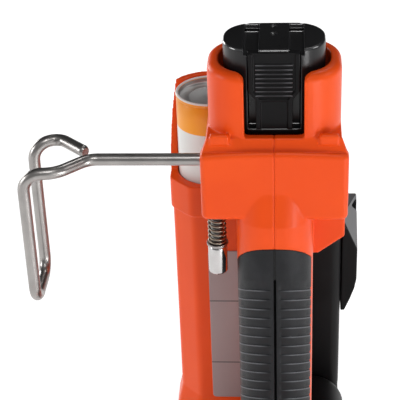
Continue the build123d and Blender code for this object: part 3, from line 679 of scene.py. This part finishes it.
# Mouldings: size of cell, rounds of easing and, for the finest, the share of faces kept

mouldings = {
    "housing_left": (0.55, 3, 0.4),
    "housing_right": (0.55, 3, 0.4),
    "grip_left": (0.35, 1, 0.5),
    "grip_right": (0.35, 1, 0.5),
    "fuel_tube": (0.6, 4, 0.4),
    "battery_pack": (0.3, 2, 0.4),
    "battery_latch": (0.25, 2),
    "hook_washer": (0.15, 2),
    "head_housing": (1.1, 5),
    "rear_cap": (0.8, 5),
    "magazine_body": (0.9, 3),
    "magazine_plate": (0.9, 3),
    "follower": (0.4, 2, 0.7),
    "trigger": (0.4, 4),
    "nose_block": (0.5, 2),
    "work_contact": (0.4, 2),
}


def softened(node, cell, rounds, share=1.0):
    # the solid with every edge rounded as it leaves the mould
    piece = newPiece(node + "_moulding", welded(node))
    cells = piece.modifiers.new("cells", "REMESH")
    cells.mode = "VOXEL"
    cells.voxel_size = cell * mm
    ease = piece.modifiers.new("ease", "SMOOTH")
    ease.factor = 0.5
    ease.iterations = rounds
    if node.startswith("grip"):
        ribs.growOn(piece, **{label: value * mm for label, value in ribLook.items()})
    if share < 1:
        thin = piece.modifiers.new("thin", "DECIMATE")
        thin.ratio = share
    mesh = meshOf(piece)
    piece.modifiers.clear()
    piece.data = mesh
    standFor(piece, node)


ribs = ribTree()
for node, settings in mouldings.items():
    softened(node, *settings)
print("mouldings made:", len(mouldings))


# Wire hook: one bent wire, with the bend of each corner held as its point radius

hookLook = {
    "wire": 6.0,
    "step": 0.8,
    "tip": 1.2,
    "shaft": (-28.5, 5.0),
    "foot": 218.1,
    "arm": 280.0,
    "reach": 91.0,
    "drop": 73.0,
}


def hookRoute():
    # places along the wire, each with its bend
    x, y = hookLook["shaft"]
    arm = hookLook["arm"]
    left, low = x - hookLook["reach"], arm - hookLook["drop"]
    front, rear = y - 15.0, y + 16.0
    return [
        ((x, y, hookLook["foot"]), 0.0),
        ((x, y, arm), 8.0),
        ((x - 61.0, y, arm), 12.0),
        ((x - 75.0, y - 13.5, arm), 14.0),
        ((left, front, arm), 9.0),
        ((left, front, low), 9.0),
        ((left, rear, low), 9.0),
        ((left, rear, arm), 9.0),
        ((left + 13.0, y + 21.5, arm), 7.0),
        ((left + 27.5, y + 7.5, arm), 0.0),
    ]


def wireTree():
    tree = Grower("bentWire", "Wire Radius", "Step", "Tip")
    bends = tree.add("GeometryNodeInputRadius")
    sockets = {"Curve": tree.given("Geometry"), "Radius": bends, "Count": 12}
    bent = tree.add("GeometryNodeFilletCurve", {"mode": "POLY"}, sockets)
    sockets = {"Curve": bent, "Length": tree.given("Step")}
    even = tree.add("GeometryNodeResampleCurve", {"mode": "LENGTH"}, sockets)
    done = tree.add("GeometryNodeSplineParameter", out="Length")
    left = tree.add("GeometryNodeCurveLength", None, {"Curve": even}) - done
    full = tree.ramp(left, 0.0, tree.given("Tip"))
    sockets = {"Resolution": 24, "Radius": tree.given("Wire Radius")}
    ring = tree.add("GeometryNodeCurvePrimitiveCircle", None, sockets)
    sockets = {"Curve": even, "Profile Curve": ring, "Scale": 0.7 + full * 0.3, "Fill Caps": True}
    return tree.close(tree.add("GeometryNodeCurveToMesh", None, sockets))


def bendHook():
    route = hookRoute()
    curve = bpy.data.curves.new("hookRoute", "CURVE")
    curve.dimensions = "3D"
    spline = curve.splines.new("POLY")
    spline.points.add(len(route) - 1)
    for point, (place, bend) in zip(spline.points, route):
        point.co = (*[c * mm for c in place], 1.0)
        point.radius = bend * mm
    holder = newPiece("hookRoute", curve)
    values = {
        "Wire Radius": hookLook["wire"] / 2 * mm,
        "Step": hookLook["step"] * mm,
        "Tip": hookLook["tip"] * mm,
    }
    wireTree().growOn(holder, Material=finishOf("hook_wire"), **values)
    mesh = meshOf(holder)
    bpy.data.objects.remove(holder)
    standFor(newPiece("bent_hook", mesh), "hook_wire")


bendHook()
print("hook bent")


# Hook spring: an open coil with half a closed turn at each end

springLook = {"turns": 8.0, "coil": 4.05, "wire": 1.15, "top": 253.5, "keep": 0.596}


def coilTree():
    tree = Grower("openCoil", "Turns", "Coil Radius", "Wire Radius", "Height")
    turns, wire = tree.given("Turns"), tree.given("Wire Radius")
    sockets = {"Resolution": 40, "Rotations": turns, "Height": 0.0}
    sockets.update({label: tree.given("Coil Radius") for label in ("Start Radius", "End Radius")})
    flat = tree.add("GeometryNodeCurveSpiral", None, sockets)
    along = tree.add("GeometryNodeSplineParameter", out="Factor")
    closed = wire * 2.05  # rise of a turn that lies on the next
    spare = tree.given("Height") - closed * turns
    rest = 0.5 / turns
    sockets = {"Value": along, "From Min": rest, "From Max": 1 - rest}
    spread = tree.add("ShaderNodeMapRange", None, sockets)
    lift = tree.add("ShaderNodeCombineXYZ", None, {"Z": along * closed * turns + spread * spare})
    risen = tree.add("GeometryNodeSetPosition", None, {"Geometry": flat, "Offset": lift})
    ring = tree.add("GeometryNodeCurvePrimitiveCircle", None, {"Resolution": 16, "Radius": wire})
    sockets = {"Curve": risen, "Profile Curve": ring, "Fill Caps": True}
    return tree.close(tree.add("GeometryNodeCurveToMesh", None, sockets))


def windSpring():
    low, high = corners("hook_spring")
    wire = springLook["wire"]
    holder = newPiece("springSeat", bpy.data.meshes.new("springSeat"))
    values = {
        "Turns": springLook["turns"],
        "Coil Radius": springLook["coil"] * mm,
        "Wire Radius": wire / 2 * mm,
        "Height": (high.z - low.z - wire) * mm,
    }
    coilTree().growOn(holder, Material=finishOf("hook_spring"), **values)
    mesh = meshOf(holder)
    bpy.data.objects.remove(holder)
    nutLow, nutHigh = corners("hook_nut")
    centre = (nutLow + nutHigh) / 2
    mesh.transform(Matrix.Translation(Vector((centre.x, centre.y, low.z + wire / 2)) * mm))
    piece = standFor(newPiece("hook_coil", mesh), "hook_spring")
    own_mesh(piece)


windSpring()
print("spring wound")


# Fuel can with rolled rim and stepped dish, and sleeve nut: pairs of radius and height

canShape = [
    (0.0, 0.0), (8.0, 0.0), (12.6, 0.25), (15.2, 1.2), (16.7, 2.7), (17.5, 5.0),
    (17.5, 60.0), (17.5, 142.0), (17.5, 149.0), (17.25, 149.3), (17.25, 149.6), (17.55, 149.8),
    (17.75, 150.2), (17.75, 151.0), (17.6, 151.5), (17.3, 151.8), (16.9, 151.9), (16.5, 151.75),
    (16.25, 151.4), (16.2, 150.8), (16.15, 149.2), (15.9, 148.7), (15.3, 148.5), (12.0, 148.2),
    (11.4, 148.45), (10.6, 148.4), (7.0, 147.9), (3.5, 147.65), (0.0, 147.6),
]
nutShape = [
    (0.0, 2.0), (3.02, 2.0), (3.02, 0.5), (3.3, 0.0), (3.7, 0.0), (4.3, 0.45),
    (4.68, 0.95), (4.8, 1.5), (4.8, 8.0), (4.8, 14.6), (4.68, 15.2), (4.3, 15.85),
    (3.8, 16.35), (3.5, 16.4), (3.3, 16.2), (3.02, 16.0), (3.02, 15.0), (0.0, 15.0),
]


def turn(name, node, profile, steps):
    # a closed shell, from the axis back to the axis
    low, high = corners(node)
    centre = (low + high) / 2
    axis = Vector((centre.x, centre.y, 0))
    rings = []
    for radius, height in profile:
        rings.append([axis + place for place in ringOf(radius, low.z + height, steps)])
    mesh = lofted(name, rings)
    mesh.shade_smooth()
    standFor(newPiece(name, mesh), node)


turn("can_shell", "fuel_can", canShape, 96)
turn("sleeve_nut", "hook_nut", nutShape, 64)
print("can and nut turned")


# Screws: one lobed head and shank, set at each CAD screw, with the facing and length given for each
# set

screwLook = {
    "head": 3.5,
    "height": 3.0,
    "shank": 1.75,
    "lobe": 1.45,
    "swing": 0.3,
    "depth": 1.6,
    "steps": 48,
}
screwSets = {
    "side_screws": ((1, 0, 0), 9.0),
    "cap_screws": ((0, -1, 0), 26.0),
    "magazine_screws": ((1, 0, 0), 30.75),
}


def screwMesh(length):
    # head up along Z from the origin, which is the middle of the head's top
    look = screwLook
    head, shank, lobe, steps = (look[label] for label in ("head", "shank", "lobe", "steps"))
    under, deep = -look["height"], -look["depth"]
    plain = [
        (shank - 0.4, -length), (shank, 0.6 - length), (shank, under), (head, under),
        (head, -0.5), (head - 0.15, -0.15), (head - 0.5, 0),
    ]
    rings = [ringOf(radius, height, steps) for radius, height in plain]
    for radius, height in ((lobe, 0), (lobe - 0.1, deep)):
        rings.append(ringOf(radius, height, steps, look["swing"]))
    rings.append(ringOf(0.5, deep - 0.3, steps))
    return lofted("screw", rings, capped=True)


def placesTree(facing):
    tree = Grower("setAtPlaces", unit=True)
    info = tree.add("GeometryNodeObjectInfo", None, {"Object": tree.given("Unit")}, out="Geometry")
    turned = tree.add("FunctionNodeAlignRotationToVector", {"axis": "Z"}, {"Vector": facing})
    sockets = {"Points": tree.given("Geometry"), "Instance": info, "Rotation": turned}
    return tree.close(tree.add("GeometryNodeInstanceOnPoints", None, sockets))


def islandBoxes(node):
    # lowest and highest value along each axis, for each separate solid of a node
    shape = bmesh.new()
    shape.from_mesh(welded(node))
    left = set(shape.verts)
    boxes = []
    while left:
        seen = set()
        edge = {left.pop()}
        while edge:
            seen |= edge
            edge = {e.other_vert(v) for v in edge for e in v.link_edges} - seen
        left -= seen
        places = [v.co for v in seen]
        boxes.append([(min(p[i] for p in places), max(p[i] for p in places)) for i in range(3)])
    shape.free()
    return sorted(boxes)


def driveScrews(node, facing, length):
    tops = []
    for box in islandBoxes(node):
        tops.append([(a + b) / 2 + f * (b - a) / 2 for f, (a, b) in zip(facing, box)])
    seats = bpy.data.meshes.new(node + "_seats")
    seats.from_pydata(tops, [], [])
    holder = newPiece(node + "_set", seats)
    unit = newPiece("screwUnit", screwMesh(length))
    placesTree(facing).growOn(holder, Material=finishOf(node), Unit=unit)
    mesh = meshOf(holder)
    for spent in (holder, unit):
        bpy.data.objects.remove(spent)
    standFor(newPiece(node + "_lobed", mesh), node)


for node, settings in screwSets.items():
    driveScrews(node, *settings)
print("screws driven:", len(screwSets))


# Plate on the tube: a thin film with rounded corners

def cutPlate():
    low, high = corners("label_plate")
    corner, edge, steps = (labelLook[label] for label in ("corner", "edge", "cornerSteps"))
    turns = ((high.x, high.z, 0), (low.x, high.z, 90), (low.x, low.z, 180), (high.x, low.z, 270))
    outline = []
    for x, z, first in turns:
        inX = x + (corner if x == low.x else -corner)
        inZ = z + (corner if z == low.z else -corner)
        for i in range(steps + 1):
            angle = math.radians(first + i * 90 / steps)
            outline.append((inX, inZ, math.cos(angle), math.sin(angle)))
    rings = []
    for y, inset in ((high.y, 0.0), (low.y + edge, 0.0), (low.y, edge)):
        reach = corner - inset
        rings.append([Vector((x + reach * c, y, z + reach * s)) for x, z, c, s in outline])
    mesh = lofted("film", rings, capped=True)
    standFor(newPiece("tube_film", mesh), "label_plate")


cutPlate()
print("film cut")

for node, solid in nodes.items():
    if not solid.hide_render:
        solid.data.materials.clear()
        solid.data.materials.append(finishOf(node))


# Stage, light and camera

stageLook = {"size": 60000.0, "floor": (0.93, 0.93, 0.93), "cloud": 600, "glow": 0.62}
lampAim = (0, 30, 200)
lampLook = {
    "key": {"at": (1500, -2700, 900), "size": 1700, "power": 8.0},
    "strip": {"at": (460, -450, 165), "size": 130, "tall": 330, "power": 1.55},
    "left": {"at": (-2500, -300, 900), "size": 1100, "power": 24.0},
    "right": {"at": (2300, 100, 1800), "size": 1100, "power": 12.0},
    "edge": {"at": (150, -1500, 2700), "size": 900, "power": 15.0},
    "back": {"at": (500, 1800, 2600), "size": 900, "power": 10.0},
    "behind": {"at": (-1900, 1900, 450), "size": 1000, "power": 20.0},
}
worldLook = {"dark": (0.05, 0.05, 0.053), "pale": (1.0, 1.0, 1.0), "strength": 0.34}
cameraLook = {
    "at": (7.4, -551.0, 585.0),
    "up": (0.0, 0.508, 0.862),
    "slew": 90 / 1325,  # tangent of the turn to the left
    "lens": 119.25,
    "sensor": 36.0,
}


def paleFloor():
    skin = Skin("paleFloor", Emission_Strength=stageLook["glow"])
    cloud = skin.noise(stageLook["cloud"])
    shade = stageLook["floor"]
    pale = skin.mixColour(cloud, [c * 0.985 for c in shade], shade)
    skin.paint(Base_Color=pale, Roughness=0.7 + cloud * 0.1, Emission_Color=pale)
    return skin.material


def layFloor():
    half = stageLook["size"] / 2 * mm
    mesh = bpy.data.meshes.new("floor")
    places = [(-half, -half, 0), (half, -half, 0), (half, half, 0), (-half, half, 0)]
    mesh.from_pydata(places, [], [(0, 1, 2, 3)])
    mesh.materials.append(paleFloor())
    newPiece("floor", mesh)


def hangLamps():
    aim = Vector(lampAim) * mm
    for name, look in lampLook.items():
        lamp = bpy.data.lights.new(name, "AREA")
        lamp.shape = "ELLIPSE"
        lamp.size = look["size"] * mm
        lamp.size_y = look.get("tall", look["size"]) * mm
        lamp.energy = look["power"]
        holder = bpy.data.objects.new(name, lamp)
        holder.visible_camera = False
        holder.location = Vector(look["at"]) * mm
        holder.rotation_euler = (aim - holder.location).to_track_quat("-Z", "Y").to_euler()
        bpy.context.scene.collection.objects.link(holder)


def lightWorld():
    # dark behind, pale in front and a little above
    world = bpy.data.worlds.new("studio")
    world.use_nodes = True
    bpy.context.scene.world = world
    tree = Tree(world.node_tree)
    x, y, z = tree.split(tree.add("ShaderNodeTexCoord", out="Generated"))
    high = tree.ramp(z, 0.2, 1.0)
    front = tree.ramp(y, 0.45, -0.6)
    shade = tree.mixColour(high * 0.2 + front * 0.8, worldLook["dark"], worldLook["pale"])
    background = world.node_tree.nodes["Background"]
    tree.plug(background.inputs["Color"], shade)
    tree.plug(background.inputs["Strength"], worldLook["strength"])


def placeCamera():
    look = cameraLook
    up = Vector(look["up"]).normalized()
    ahead = Matrix.Rotation(math.atan(look["slew"]), 3, up) @ up.cross(Vector((1, 0, 0)))
    right = ahead.cross(up)
    camera = bpy.data.cameras.new("viewer")
    camera.lens = look["lens"]
    camera.sensor_width = look["sensor"]
    camera.sensor_fit = "HORIZONTAL"
    camera.clip_start = 0.01
    holder = bpy.data.objects.new("viewer", camera)
    axes = Matrix((right, up, -ahead)).transposed().to_4x4()
    holder.matrix_world = Matrix.Translation(Vector(look["at"]) * mm) @ axes
    bpy.context.scene.collection.objects.link(holder)
    bpy.context.scene.camera = holder


layFloor()
hangLamps()
lightWorld()
placeCamera()
bpy.context.scene.view_settings.view_transform = "Standard"
print("stage set")
